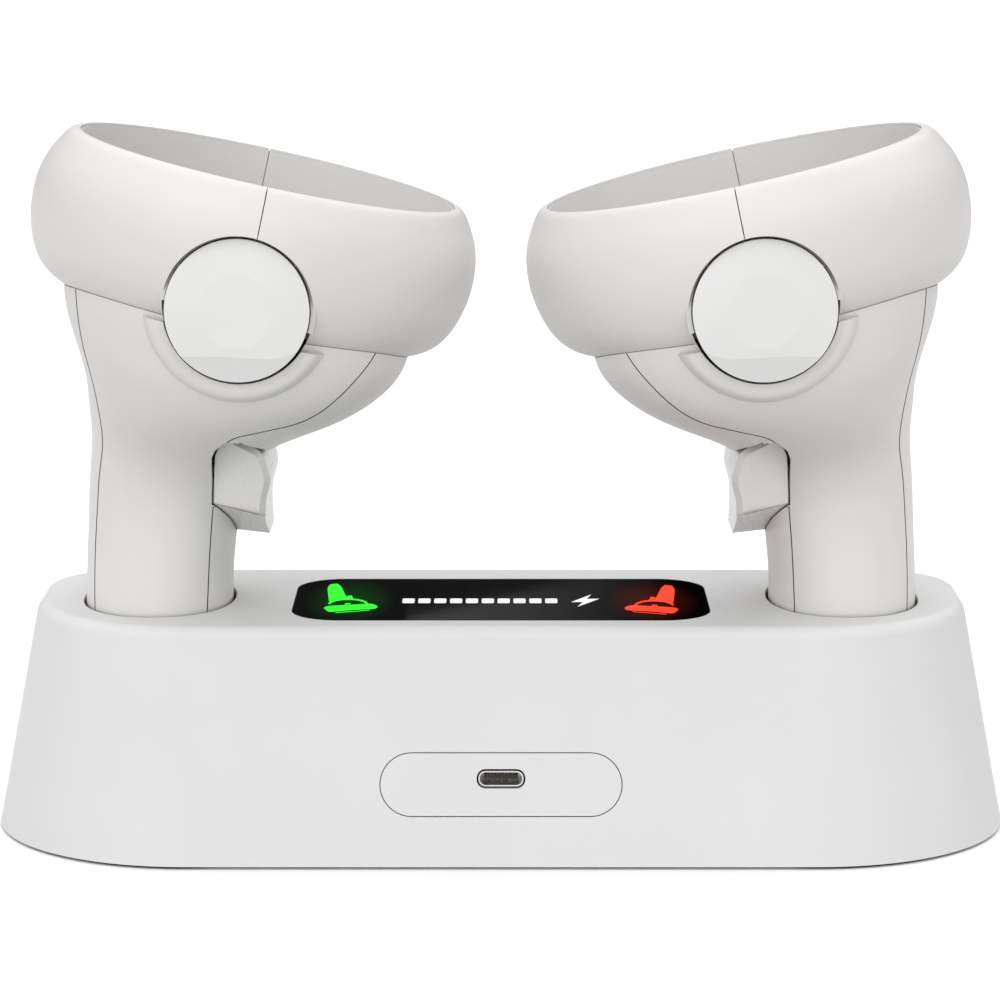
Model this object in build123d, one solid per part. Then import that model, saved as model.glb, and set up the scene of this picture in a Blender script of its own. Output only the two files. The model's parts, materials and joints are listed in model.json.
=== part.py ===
from build123d import *
import os
from math import atan2, cos, pi, radians, sin

# A charging dock with a pair of tracked hand controllers standing in it.
# Millimetres. +Z is up, -Y is the side with the charging socket, +X is to the right of
# someone who looks at that side. The origin is the centre of the dock's underside.
# Every controller piece is modelled once, for the right hand (at -X), and mirrored.

# ---- dock ----
DOCK_HALF_LENGTH = 104.0        # at the bottom
DOCK_FRONT = 39.4               # front edge's distance from the middle, at the bottom
DOCK_BACK = 38.0
DOCK_END_RADIUS = 41.0          # long radius of the quarter-elliptical front corners
DOCK_BACK_RADIUS = 19.0         # round back corners, at the bottom
DOCK_HEIGHT = 47.0
DOCK_DRAFT = 9.0                # how far the walls lean in, bottom to top
DOCK_WALL = 2.2
DOCK_TOP_FILLET = 2.6
SHELL_BOTTOM = 0.6              # the feet and the base plate show below the shell
FOOT_HEIGHT = 0.6
FOOT_INSET = 1.2
BASE_INSET = 2.6                # base plate's edge, inside the shell's skirt
BASE_BOTTOM = 0.6
BASE_THICK = 2.0
FOOT_REACH = 52.0               # the end feet run in to this distance from the middle
FOOT_CORNER = 10.0
CENTRE_FOOT = (60.0, 40.0)
CUP_X = 70.15                   # cup axis, each side of the middle
CUP_RADII = (15.45, 20.4)
CUP_WALL = 1.6
CUP_FLOOR = 23.0                # top of the cup's floor, which the handle stands on
CUP_LIP = 0.3                   # chamfer round the cup's mouth
WINDOW_SIZE = (84.4, 40.8)
WINDOW_RADIUS = 9.5
WINDOW_THICK = 1.6
WINDOW_Y = -2.8
PLAQUE_SIZE = (47.7, 12.4)
PLAQUE_Z = 16.6
PLAQUE_THICK = 1.0
FIT_GAP = 0.2                   # gap round every inlaid piece
PORT_Z = 17.7
PORT_SIZE = (8.94, 3.16)        # USB-C receptacle, outside of its steel shell
PORT_DEPTH = 7.4
PORT_WALL = 0.3
PORT_TONGUE = (6.7, 0.7, 5.2)
BOARD_Z = 9.0
BOARD_THICK = 1.6
BOARD_SIZE = (168.0, 40.0)
BOSS_X = (50.9, 89.3)           # screw bosses stand at plus and minus these, against the cups
BOSS_TOP = 30.0
BOSS_RADIUS = 3.0
SCREW_RADIUS = 1.0
SCREW_HEAD = (2.1, 1.2)
PIN_RADIUS = 0.95
PIN_CLEARANCE = 0.05
PIN_SPREAD = 9.0                # between the two charging pins of a cup
BARREL_TOP = 20.4

# ---- controller: tracking ring ----
RING_X, RING_Y, RING_Z = -49.4, -7.0, 122.5
RING_TILT = 12.5                # the outboard side is the high one
RING_WALL = 1.5
BAND_WALL = 1.2
BAND_SEAM_DEPTH = 0.3
BAND_BOTTOM, BAND_TOP = (36.5, -13.4), (37.55, 13.5)    # inner face: radius, height
BAND_LIP = (38.0, 12.2)         # the band's top, inside the cover's rim
SEAM_TURN = 3.4                 # degrees that the ring's seams stand off its middle
RING_PROFILE = [(36.5, -15.9), (38.6, -15.0), (40.9, -13.1), (43.4, -8.6), (44.7, -3.0),
                (44.8, 2.0), (43.6, 7.4), (41.4, 11.6), (39.4, 13.8), (38.1, 14.0)]
SEAM_GAP = 0.2                  # visible gap between two shells
TIGHT_GAP = 0.05

# ---- controller: body sections, from the handle's bottom to the ring ----
# (left x, left z, right x, right z, front y, rear y, squareness)
BODY_SECTIONS = [
    (-83.3, 23.0, -57.4, 23.0, -17.6, 17.8, 2.2),
    (-84.6, 29.0, -56.0, 29.0, -19.2, 19.3, 2.2),
    (-85.15, 42.0, -55.1, 42.0, -20.0, 20.0, 2.2),
    (-85.0, 53.0, -55.1, 52.8, -20.0, 20.0, 2.2),
    (-84.45, 63.0, -54.2, 62.0, -20.2, 19.8, 2.2),
    (-83.85, 73.0, -53.2, 70.0, -21.5, 19.2, 2.2),
    (-83.0, 81.8, -50.3, 75.7, -25.5, 18.2, 2.15),
    (-82.9, 89.2, -43.85, 80.9, -33.0, 16.8, 2.1),
    (-82.95, 95.95, -33.75, 85.45, -40.2, 15.0, 2.1),
    (-84.35, 102.95, -25.55, 90.2, -44.6, 13.0, 2.05),
    (-85.85, 109.05, -20.2, 95.6, -46.3, 11.5, 2.0),
    (-86.25, 114.1, -18.3, 100.2, -46.9, 10.6, 2.0),
    (-85.55, 118.5, -17.2, 104.4, -46.9, 10.1, 2.0),
    (-84.45, 123.1, -16.0, 108.0, -46.5, 9.8, 2.0)]
BODY_WALL = 1.8
COLLAR_TOP_N = -15.25           # the trigger's collar stops under the ring
DECK_N = -9.6                   # top of the face plate, in the ring's own height
PLATE_THICK = 1.6
PLATE_MARGIN = 0.25

# ---- controller: trigger, grip button, stick and buttons ----
TRIGGER_X, TRIGGER_Z = -50.0, 112.6
TRIGGER_HOLE = 14.45
TRIGGER_RADIUS = 13.75
TRIGGER_FACE_Y = -50.9
TRIGGER_PIVOT = (-46.5, 121.0)   # y, z
TRIGGER_FACET = [(-66.0, 109.0), (-60.0, 106.2), (-50.0, 104.4), (-43.5, 104.9), (-36.0, 110.5)]
COLLAR_PROFILE = [(15.8, -46.6), (17.0, -46.1), (17.9, -44.9), (18.6, -42.5), (20.5, -36.0)]
PIVOT_RADIUS = 0.8
PIVOT_LENGTH = 32.0
SPRING_RADIUS, SPRING_WIRE = 1.1, 0.25
GRIP_CURVE = 11                 # the first points of the outline are the finger's curve
GRIP_OUTLINE = [(-53.7, 84.2), (-52.0, 82.8), (-49.9, 81.7), (-47.9, 80.2), (-46.7, 77.0),
                (-46.2, 74.6), (-46.4, 72.8), (-47.1, 70.4), (-47.4, 67.7), (-47.4, 64.9),
                (-47.2, 61.2), (-58.0, 61.2), (-57.7, 69.7), (-57.4, 73.9), (-57.2, 77.0),
                (-56.9, 79.7), (-55.9, 82.0)]
GRIP_FRONT = ((-15.3, 69.0), (-21.8, 85.0))      # y, z of the front face's slope
GRIP_UNDER = ((-62.0, 70.5), (-44.0, 65.5))      # x, z of the front face's bottom edge
GRIP_UNDERCUT = (-15.6, 7.5)                     # the underside falls by this from there to y = 0
GRIP_BACK = 9.5
GRIP_ROOT = ((-60.6, -13.0, 69.5), (-55.0, 9.5, 83.5))
GRIP_BEVEL = 1.2
GRIP_PIVOT = (-59.6, -11.0)      # x, y of the upright pin
GRIP_PIN_Z = (60.4, 92.4)
GRIP_BARREL = 1.7
GRIP_TURN = 8.0                  # degrees of travel that the slot leaves room for
PALM_SEAM = [(-82.3, 20.0), (-82.2, 48.0), (-81.8, 61.0), (-81.1, 69.4), (-80.4, 75.7),
             (-79.3, 82.2), (-79.2, 85.7), (-80.0, 94.5), (-81.6, 103.3), (-82.4, 112.8),
             (-82.8, 122.0)]
HEAD_SEAM = [(-53.6, 84.6), (-51.4, 86.0), (-48.3, 86.8), (-45.3, 87.5), (-39.8, 88.8),
             (-34.0, 92.0), (-28.9, 96.8), (-25.8, 100.4), (-23.6, 104.0)]
HEAD_FAR = [(-5.0, 104.0), (-5.0, 70.0), (-53.6, 70.0)]
DOOR_SEAM = [(-60.9, 20.0), (-59.5, 46.7), (-58.9, 57.5), (-57.9, 68.7)]
GRIP_RIB_X = -58.95             # the ribs of the grip's pin end here, short of the door
BATTERY = (7.1, 49.0)
BATTERY_AT = (-71.0, 1.5, 26.6)
STICK_AT = (-10.0, -11.0)        # u, y in the ring's frame
STICK_CAP_RADIUS = 8.6
STICK_STEM_RADIUS = 2.6
STICK_HOLE = 7.6
STICK_PIVOT_N = -16.0
DOME_RADIUS, DOME_SKIRT = 9.4, 2.4    # the skirt's edge is this far above the pivot
POST_TOP_N, POST_RADIUS = -9.4, 1.2
TRUNNION_RADIUS = 0.7
STICK_TOP_N = 0.5
BUTTON_RADIUS = 4.3
BUTTON_LOWER_AT = (12.0, 0.5)
BUTTON_UPPER_AT = (15.5, -12.5)
MENU_RADIUS = 2.6
MENU_AT = (2.0, 6.0)
BUTTON_GAP = 0.25
BUTTON_PROUD = 1.3
MAIN_BOARD_N, MAIN_BOARD_THICK = -23.4, 1.2

RING_PLANE = Plane(
    origin=(RING_X, RING_Y, RING_Z),
    x_dir=(cos(radians(RING_TILT)), 0, -sin(radians(RING_TILT))),
    z_dir=(sin(radians(RING_TILT)), 0, cos(radians(RING_TILT))))


# ---- helpers ----
def box(low, high):
    """A box between two corners."""
    size = [b - a for a, b in zip(low, high)]
    middle = [(a + b) / 2 for a, b in zip(low, high)]
    return Pos(*middle) * Box(*size)


def rod(start, end, radius):
    """A cylinder between two points."""
    axis = Vector(*end) - Vector(*start)
    plane = Plane(origin=start, z_dir=axis)
    return extrude(plane * Circle(radius), axis.length)


def oval(a, b, squareness=2.0, count=24):
    """A smooth closed oval of half-widths a and b, slightly squared above 2."""
    power = 2.0 / squareness
    points = []
    for k in range(count):
        c, s = cos(2 * pi * k / count), sin(2 * pi * k / count)
        x = a * abs(c) ** power * (1 if c >= 0 else -1)
        y = b * abs(s) ** power * (1 if s >= 0 else -1)
        points.append((x, y))
    return make_face(Spline(points, periodic=True))


def front_prism(points, y_low, y_high, smooth=0):
    """Extrudes an outline given in x and z along Y. Its first `smooth` points are a curve."""
    plane = Plane(origin=(0, y_high, 0), x_dir=(1, 0, 0), z_dir=(0, -1, 0))
    if smooth:
        lines = Spline(points[:smooth]) + Polyline(points[smooth - 1:] + points[:1])
    else:
        lines = Polyline(points + points[:1])
    return extrude(plane * make_face(lines), y_high - y_low)


def in_ring(shape):
    """Places a shape modelled in the ring's own frame: u inboard, y back, n up."""
    return RING_PLANE.location * shape


def biggest(shape):
    """Keeps the largest solid and drops slivers."""
    return max(shape.solids(), key=lambda solid: solid.volume)


# ---- dock ----
def dock_outline(inset, z):
    """The dock's plan at an inset from its bottom outline, on a level."""
    half, front, back = DOCK_HALF_LENGTH - inset, DOCK_FRONT - inset, DOCK_BACK - inset
    long_radius, corner = DOCK_END_RADIUS - inset, DOCK_BACK_RADIUS - inset / 3
    straight, back_straight = half - long_radius, half - corner
    lines = Line((-straight, -front), (straight, -front))
    lines += EllipticalCenterArc((straight, 0), long_radius, front, -90, arc_size=90)
    lines += Line((half, 0), (half, back - corner))
    lines += CenterArc((back_straight, back - corner), corner, 0, 90)
    lines += Line((back_straight, back), (-back_straight, back))
    lines += CenterArc((-back_straight, back - corner), corner, 90, 90)
    lines += Line((-half, back - corner), (-half, 0))
    lines += EllipticalCenterArc((-straight, 0), long_radius, front, 180, arc_size=90)
    return Plane.XY.offset(z) * make_face(lines)


def dock_block(inset, z_low, z_high):
    """The tapered dock form between two levels, at an inset from its outer faces."""
    slope = DOCK_DRAFT / DOCK_HEIGHT
    return loft([dock_outline(inset + slope * z, z) for z in (z_low, z_high)], ruled=True)


def cup_prism(side, grow, z_low, z_high):
    radii = [r + grow for r in CUP_RADII]
    return Pos(side * CUP_X, 0, z_low) * extrude(oval(*radii, 2.2), z_high - z_low)


def cup_mouth(side):
    """The chamfered mouth of a cup."""
    low = Plane.XY.offset(DOCK_HEIGHT - CUP_LIP)
    high = Plane.XY.offset(DOCK_HEIGHT + 0.1)
    rings = [low * oval(*CUP_RADII, 2.2), high * oval(*[r + CUP_LIP for r in CUP_RADII], 2.2)]
    return Pos(side * CUP_X, 0, 0) * loft(rings)


def wall_plane(z):
    """A plane on the dock's sloping front wall, facing out, at a height."""
    slope = DOCK_DRAFT / DOCK_HEIGHT
    y = -DOCK_FRONT + slope * z
    tilt = atan2(DOCK_DRAFT, DOCK_HEIGHT)
    return Plane(origin=(0, y, z), x_dir=(1, 0, 0), z_dir=(0, -cos(tilt), sin(tilt)))


def plaque(grow, thick):
    """The stadium plate let into the front wall, behind the wall's face."""
    length, height = PLAQUE_SIZE[0] + 2 * grow, PLAQUE_SIZE[1] + 2 * grow
    return extrude(wall_plane(PLAQUE_Z) * SlotOverall(length, height), -thick)


def port_prism(grow, y_low, y_high):
    """A rounded bar along Y with the receptacle's section."""
    width, height = PORT_SIZE[0] + 2 * grow, PORT_SIZE[1] + 2 * grow
    plane = Plane(origin=(0, y_high, PORT_Z), x_dir=(1, 0, 0), z_dir=(0, -1, 0))
    return extrude(plane * RectangleRounded(width, height, height / 2 - 0.15), y_high - y_low)


def port_mouth_y():
    return wall_plane(PORT_Z).origin.Y


def window_block(grow, z_low, z_high):
    width, depth = WINDOW_SIZE[0] + 2 * grow, WINDOW_SIZE[1] + 2 * grow
    face = RectangleRounded(width, depth, WINDOW_RADIUS + grow)
    return Pos(0, WINDOW_Y, z_low) * extrude(face, z_high - z_low)


def boss_places():
    return [(side * x, 0) for side in (-1, 1) for x in BOSS_X]


def pin_places():
    return [(side * CUP_X + step, 0) for side in (-1, 1) for step in (-PIN_SPREAD / 2, PIN_SPREAD / 2)]


def make_dock_shell():
    outer = dock_block(0, SHELL_BOTTOM, DOCK_HEIGHT)
    outer = fillet(outer.edges().group_by(Axis.Z)[-1], DOCK_TOP_FILLET)
    inner = dock_block(DOCK_WALL, SHELL_BOTTOM - 1, DOCK_HEIGHT - DOCK_WALL)
    shell = outer - inner
    ledge = window_block(2.5, DOCK_HEIGHT - WINDOW_THICK - 2.6, DOCK_HEIGHT - DOCK_WALL)
    shell += ledge
    shell -= window_block(FIT_GAP, DOCK_HEIGHT - WINDOW_THICK, DOCK_HEIGHT + 1)
    shell -= window_block(-4.0, DOCK_HEIGHT - WINDOW_THICK - 4, DOCK_HEIGHT + 1)
    for side in (-1, 1):
        well = cup_prism(side, CUP_WALL, CUP_FLOOR - CUP_WALL, DOCK_HEIGHT - 1)
        shell += well
        shell -= cup_prism(side, 0, CUP_FLOOR, DOCK_HEIGHT + 1)
        shell -= cup_mouth(side)
    for x, y in pin_places():
        shell -= rod((x, y, CUP_FLOOR - 4), (x, y, CUP_FLOOR + 1), PIN_RADIUS + 0.25)
    for x, y in boss_places():
        shell += rod((x, y, BASE_BOTTOM + BASE_THICK), (x, y, BOSS_TOP), BOSS_RADIUS)
        shell -= cup_prism(1 if x > 0 else -1, 0, CUP_FLOOR, DOCK_HEIGHT + 1)
        shell -= rod((x, y, 0), (x, y, BASE_BOTTOM + BASE_THICK + 8), SCREW_RADIUS)
    shell -= plaque(FIT_GAP, PLAQUE_THICK + TIGHT_GAP)
    shell -= port_prism(0.4, -DOCK_FRONT - 2, port_mouth_y() + 6)
    return biggest(shell)


def make_base_plate():
    plate = dock_block(BASE_INSET, BASE_BOTTOM, BASE_BOTTOM + BASE_THICK)
    for x, y in boss_places():
        plate -= rod((x, y, 0), (x, y, 10), SCREW_RADIUS + 0.2)
        plate -= rod((x, y, 0), (x, y, BASE_BOTTOM + SCREW_HEAD[1]), SCREW_HEAD[0] + 0.2)
    return plate


def make_rubber_feet():
    """Two pads that follow the dock's ends, and one across the middle."""
    pads = extrude(dock_outline(FOOT_INSET, 0), FOOT_HEIGHT)
    pads -= box((-FOOT_REACH, -60, -1), (FOOT_REACH, 60, 5))
    inner = [edge for edge in pads.edges().filter_by(Axis.Z) if abs(edge.center().X) < FOOT_REACH + 0.1]
    pads = fillet(inner, FOOT_CORNER)
    for x, y in boss_places():
        pads -= rod((x, y, -1), (x, y, 5), SCREW_HEAD[0] + 1.2)
    centre = extrude(RectangleRounded(*CENTRE_FOOT, 6), FOOT_HEIGHT)
    return Compound(list(pads.solids()) + list(centre.solids()))


def make_base_screws():
    screws = []
    for x, y in boss_places():
        head_top = BASE_BOTTOM + SCREW_HEAD[1]
        screw = rod((x, y, BASE_BOTTOM), (x, y, head_top), SCREW_HEAD[0])
        screw += rod((x, y, head_top), (x, y, head_top + 7.5), SCREW_RADIUS)
        cross = box((-1.2, -0.25, 0), (1.2, 0.25, 0.6)) + box((-0.25, -1.2, 0), (0.25, 1.2, 0.6))
        screws.append(biggest(screw - Pos(x, y, BASE_BOTTOM) * cross))
    return Compound(screws)


def make_port_bezel():
    return plaque(0, PLAQUE_THICK) - port_prism(0.35, -DOCK_FRONT - 2, 0)


def make_usb_shell():
    mouth = port_mouth_y() + 0.25
    shell = port_prism(0, mouth, mouth + PORT_DEPTH)
    return shell - port_prism(-PORT_WALL, mouth - 1, mouth + PORT_DEPTH - 0.6)


def make_usb_tongue():
    width, height, reach = PORT_TONGUE
    back = port_mouth_y() + 0.25 + PORT_DEPTH - 0.6
    return box((-width / 2, back - reach, PORT_Z - height / 2), (width / 2, back, PORT_Z + height / 2))


def make_charge_board():
    """The long board on its pillars, with the socket's own small board standing behind the port."""
    board = Pos(0, 0, BOARD_Z + BOARD_THICK / 2) * Box(*BOARD_SIZE, BOARD_THICK)
    for x, y in boss_places():
        board -= rod((x, y, 0), (x, y, 20), BOSS_RADIUS + 0.4)
    mouth = port_mouth_y() + 0.25
    top = PORT_Z - PORT_SIZE[1] / 2
    riser = box((-7, mouth + 2.4, top - 1.2), (7, mouth + PORT_DEPTH + 9, top))
    leg = box((-7, mouth + PORT_DEPTH + 7.8, BOARD_Z), (7, mouth + PORT_DEPTH + 9, top))
    chips = box((-20, -6, BOARD_Z + BOARD_THICK), (-12, 2, BOARD_Z + BOARD_THICK + 1.2))
    chips += box((12, -4, BOARD_Z + BOARD_THICK), (17, 1, BOARD_Z + BOARD_THICK + 1.2))
    return board + riser + leg + chips


def make_pogo_barrels():
    barrels = []
    bottom = BOARD_Z + BOARD_THICK
    for x, y in pin_places():
        barrel = rod((x, y, bottom), (x, y, BARREL_TOP), 2.2)
        barrel -= rod((x, y, bottom + 0.6), (x, y, BARREL_TOP - 1.2), 1.6)
        barrel -= rod((x, y, bottom + 1), (x, y, BARREL_TOP + 1), PIN_RADIUS + PIN_CLEARANCE)
        barrels.append(biggest(barrel))
    return Compound(barrels)


def make_pogo_pins(side):
    """Two plungers, each with the collar that keeps it in its barrel."""
    pins = []
    collar_top = BARREL_TOP - 1.2 - PIN_CLEARANCE
    for x, y in pin_places():
        if x * side < 0:
            continue
        pin = rod((x, y, collar_top - 5), (x, y, CUP_FLOOR), PIN_RADIUS)
        pin = chamfer(pin.edges().group_by(Axis.Z)[-1], 0.3)
        pin += rod((x, y, collar_top - 1.2), (x, y, collar_top), 1.5)
        pins.append(biggest(pin))
    return Compound(pins)


# ---- controller: ring ----
def ring_curve(inset):
    """The cover's section, moved inwards along its own normals."""
    points = []
    last = len(RING_PROFILE) - 1
    for k, (r, n) in enumerate(RING_PROFILE):
        before, after = RING_PROFILE[max(k - 1, 0)], RING_PROFILE[min(k + 1, last)]
        run, rise = after[0] - before[0], after[1] - before[1]
        length = (run * run + rise * rise) ** 0.5
        points.append((r - inset * rise / length, n + inset * run / length))
    return points


def revolved(lines):
    face = make_face(Plane.XZ * lines)
    return revolve(face, Axis.Z, 360)


def ring_envelope(grow):
    """The whole ring as one solid, a little larger or smaller than the real one."""
    outer = ring_curve(-grow)
    foot, rim = (BAND_BOTTOM[0] - grow, outer[0][1]), (BAND_TOP[0] - grow, outer[-1][1])
    return revolved(Spline(outer) + Polyline([outer[-1], rim, foot, outer[0]]))


def ring_cover():
    """The C-shaped cover all round, open towards the band."""
    outer, inner = ring_curve(0), ring_curve(RING_WALL)
    hub = 20.0
    solid = revolved(Spline(outer) + Polyline([outer[-1], (outer[0][0], outer[-1][1]), outer[0]]))
    core = revolved(Spline(inner) + Polyline([inner[-1], (hub, inner[-1][1]), (hub, inner[0][1]), inner[0]]))
    rim_hole = Pos(0, 0, outer[-1][1]) * Cylinder(outer[-1][0], 8)
    return solid - core - rim_hole


def trigger_bore(radius, y_low, y_high):
    return rod((TRIGGER_X, y_low, TRIGGER_Z), (TRIGGER_X, y_high, TRIGGER_Z), radius)


def make_ring_cover(side):
    """One half of the cover: side -1 is outboard, 1 is inboard."""
    cover = ring_cover()
    far = 60.0
    low, high = (SEAM_GAP / 2, far) if side > 0 else (-far, -SEAM_GAP / 2)
    half = in_ring(cover & (Rot(0, 0, SEAM_TURN) * box((low, -far, -far), (high, far, far))))
    half -= trigger_bore(TRIGGER_HOLE, -70, -40)
    half += pin_boss(side)
    half -= pin_bores()
    return biggest(half)


def pin_boss(side):
    """The boss inside a cover that holds one end of the trigger's pin."""
    y, z = TRIGGER_PIVOT
    near, far = sorted((TRIGGER_X + side * 14.95, TRIGGER_X + side * 17.4))
    return box((near, y - 5, z - 2.4), (far, y + 1.2, z + 2.2)) & in_ring(ring_envelope(-0.4))


def make_inner_band():
    (low_r, low_n), (high_r, high_n) = BAND_BOTTOM, BAND_TOP
    lip_r, lip_n = BAND_LIP
    line = [(low_r, low_n), (high_r, high_n), (lip_r, high_n), (lip_r, lip_n),
            (high_r + BAND_WALL, lip_n), (low_r + BAND_WALL, low_n)]
    band = revolved(Polyline(line + line[:1]))
    groove = [(30, low_n - 1), (low_r + BAND_SEAM_DEPTH, low_n - 1), (low_r + BAND_SEAM_DEPTH, low_n),
              (high_r + BAND_SEAM_DEPTH, high_n), (high_r + BAND_SEAM_DEPTH, high_n + 1), (30, high_n + 1)]
    across = Plane(origin=(-SEAM_GAP / 2, 0, 0), x_dir=(0, 1, 0), z_dir=(1, 0, 0))
    seam = extrude(across * make_face(Polyline(groove + groove[:1])), SEAM_GAP)
    return in_ring(band - Rot(0, 0, SEAM_TURN) * seam)


def make_led_strip():
    """The flexible strip round the band, with its row of infrared lamps."""
    radius = 38.75
    strip = Cylinder(radius + 0.25, 7) - Cylinder(radius, 8)
    for k in range(15):
        lamp = Pos(radius + 0.8, 0, 0) * Box(1.4, 2.6, 2.6)
        strip += Rot(0, 0, 24 * k + 12) * lamp
    strip -= box((-20, -60, -20), (20, -30, 20))
    return in_ring(biggest(strip))


# ---- controller: body shells ----
def body_form(inset, bottom=0.0):
    """The whole body as one smooth solid, at an inset from its outer face."""
    faces = []
    for k, (lx, lz, rx, rz, front, rear, squareness) in enumerate(BODY_SECTIONS):
        lift = bottom if k == 0 else 0.0
        across = Vector(rx - lx, 0, rz - lz)
        normal = Vector(-(rz - lz), 0, rx - lx)
        plane = Plane(origin=((lx + rx) / 2, (front + rear) / 2, (lz + rz) / 2 + lift),
                      x_dir=across, z_dir=normal)
        a, b = across.length / 2 - inset, (rear - front) / 2 - inset
        faces.append(plane * oval(a, b, squareness))
    return loft(faces)


def below_deck(n):
    """Everything under a level of the ring's own frame."""
    return in_ring(box((-80, -80, -160), (80, 80, n)))


def grip_face(y, grow):
    """The grip button's outline on a plane across Y, grown towards the body."""
    middle_z, top_z = 72.0, 78.0
    points = []
    for x, z in GRIP_OUTLINE:
        side = -grow if x < -53 else grow / 2 if z > top_z else 4 * grow
        points.append((x + side, z + (grow if z > middle_z else -grow)))
    plane = Plane(origin=(0, y, 0), x_dir=(1, 0, 0), z_dir=(0, -1, 0))
    lines = Spline(points[:GRIP_CURVE]) + Polyline(points[GRIP_CURVE - 1:] + points[:1])
    return plane * make_face(lines)


def grip_profile(x, z, grow, reach):
    """The grip button's side view at an x, where its front face's bottom edge is at z."""
    (low_y, low_z), (high_y, high_z) = GRIP_FRONT
    under_y, fall = GRIP_UNDERCUT
    slope = (high_y - low_y) / (high_z - low_z)
    top = high_z + 1
    bottom = z - grow
    front = [(low_y + slope * (bottom - low_z) - reach, bottom), (low_y + slope * (top - low_z) - reach, top)]
    back = GRIP_BACK + grow
    points = front + [(back, top), (back, bottom - fall), (0.0, bottom - fall), (under_y, bottom)]
    plane = Plane(origin=(x, 0, 0), x_dir=(0, 1, 0), z_dir=(1, 0, 0))
    return plane * make_face(Polyline(points + points[:1]))


def grip_form(grow, reach=0.0):
    """The grip button without its hinge: its outline cut to its side view."""
    (x0, z0), (x1, z1) = GRIP_UNDER
    side_view = loft([grip_profile(x0, z0, grow, reach), grip_profile(x1, z1, grow, reach)], ruled=True)
    form = extrude(grip_face(GRIP_BACK + grow, grow), GRIP_BACK + grow + 45) & side_view
    low, high = GRIP_ROOT
    root = box([c - grow for c in low], [c + grow for c in high])
    return form + root


def grip_slot():
    """The room cut for the grip button in the body, over its whole swing."""
    x, y = GRIP_PIVOT
    room = grip_form(0.35, 20.0)
    room += rod((x, y, 69.2), (x, y, 83.8), GRIP_BARREL + 0.4)
    swing = room
    for turn in (GRIP_TURN / 3, 2 * GRIP_TURN / 3, GRIP_TURN):
        swing += Pos(x, y, 0) * Rot(0, 0, turn) * Pos(-x, -y, 0) * room
    return swing


def grip_block():
    """The grip button's own form, with a softened edge between front and finger side."""
    block = grip_form(0)
    edges = [edge for edge in block.edges()
             if edge.center().Y < -15 and edge.center().X > -52 and 68 < edge.center().Z < 80
             and edge.length > 6]
    return chamfer(edges, GRIP_BEVEL)


def seam_side(points, x_far, smooth):
    """A prism on one side of a seam curve, out to a far x."""
    outline = points + [(x_far, points[-1][1]), (x_far, points[0][1])]
    return front_prism(outline, -80, 80, smooth)


def shifted(points, dx, dz):
    return [(x + dx, z + dz) for x, z in points]


def make_body_shells():
    """The hollow body, cut along its moulding seams into four shells."""
    outer = body_form(0) & below_deck(DECK_N)
    outer += trigger_collar() & below_deck(COLLAR_TOP_N)
    outer -= in_ring(ring_envelope(0.12))
    inner = body_form(BODY_WALL, BODY_WALL)
    shell = outer - inner
    shell -= trigger_bore(TRIGGER_HOLE, -70, -38)
    shell -= grip_slot()
    shell -= pad_holes()
    shell += grip_bosses() & body_form(0.3)
    shell -= pin_bores()
    shell = shell - in_ring(ring_envelope(0.12))

    skin = outer - body_form(0.7, 0.7)
    palm_zone = seam_side(PALM_SEAM, -110, len(PALM_SEAM))
    palm_slit = palm_zone - seam_side(shifted(PALM_SEAM, -SEAM_GAP, 0), -110, len(PALM_SEAM))
    head_zone = front_prism(HEAD_SEAM + HEAD_FAR, -80, 80, len(HEAD_SEAM))
    head_slit = head_zone - front_prism(shifted(HEAD_SEAM, 0.1, -SEAM_GAP) + HEAD_FAR, -80, 80, len(HEAD_SEAM))
    door_zone = seam_side(DOOR_SEAM, -40, len(DOOR_SEAM))
    door_slit = door_zone - seam_side(shifted(DOOR_SEAM, SEAM_GAP, 0), -40, len(DOOR_SEAM))
    door_slit += door_zone & box((-70, -80, DOOR_SEAM[-1][1] - SEAM_GAP), (-40, 80, 80))
    slits = (palm_slit + head_slit + door_slit) & skin
    shell = shell - slits

    palm = shell & palm_zone
    rest = shell - palm_zone
    door = rest & door_zone
    rest = rest - door_zone
    inner_part = rest & head_zone
    front = rest - head_zone
    return {"palm_shell": biggest(palm), "battery_door": biggest(door),
            "inner_shell": biggest(inner_part), "front_shell": biggest(front)}


def trigger_collar():
    """The raised collar round the trigger's opening, as a solid of revolution."""
    plane = Plane(origin=(TRIGGER_X, 0, TRIGGER_Z), x_dir=(1, 0, 0), z_dir=(0, 0, 1))
    (first_r, first_y), (last_r, last_y) = COLLAR_PROFILE[0], COLLAR_PROFILE[-1]
    lines = Spline(COLLAR_PROFILE) + Polyline([(last_r, last_y), (0, last_y), (0, first_y), (first_r, first_y)])
    axis = Axis((TRIGGER_X, 0, TRIGGER_Z), (0, 1, 0))
    return revolve(plane * make_face(lines), axis, 360)


def grip_bosses():
    """Two ribs on the front wall, over and under the grip button, that hold its pin."""
    x, y = GRIP_PIVOT
    reach = 45.0
    low, high = GRIP_PIN_Z
    under = box((x - 2.2, -reach, low - 0.4), (GRIP_RIB_X, y + 1.8, 67.6))
    over = box((x - 2.2, -reach, 85.2), (x + 2.2, y + 1.8, high + 0.2))
    return under + over


def pin_rods(radius):
    ty, tz = TRIGGER_PIVOT
    gx, gy = GRIP_PIVOT
    half = PIVOT_LENGTH / 2
    return [rod((TRIGGER_X - half, ty, tz), (TRIGGER_X + half, ty, tz), radius),
            rod((gx, gy, GRIP_PIN_Z[0]), (gx, gy, GRIP_PIN_Z[1]), radius)]


def pin_bores():
    first, second = pin_rods(PIVOT_RADIUS)
    return first + second


def make_pivot_pins():
    return Compound([biggest(pin) for pin in pin_rods(PIVOT_RADIUS)])


def pad_holes():
    return pad_discs(2.3, -1.0, BODY_WALL + 1.5)


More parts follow.
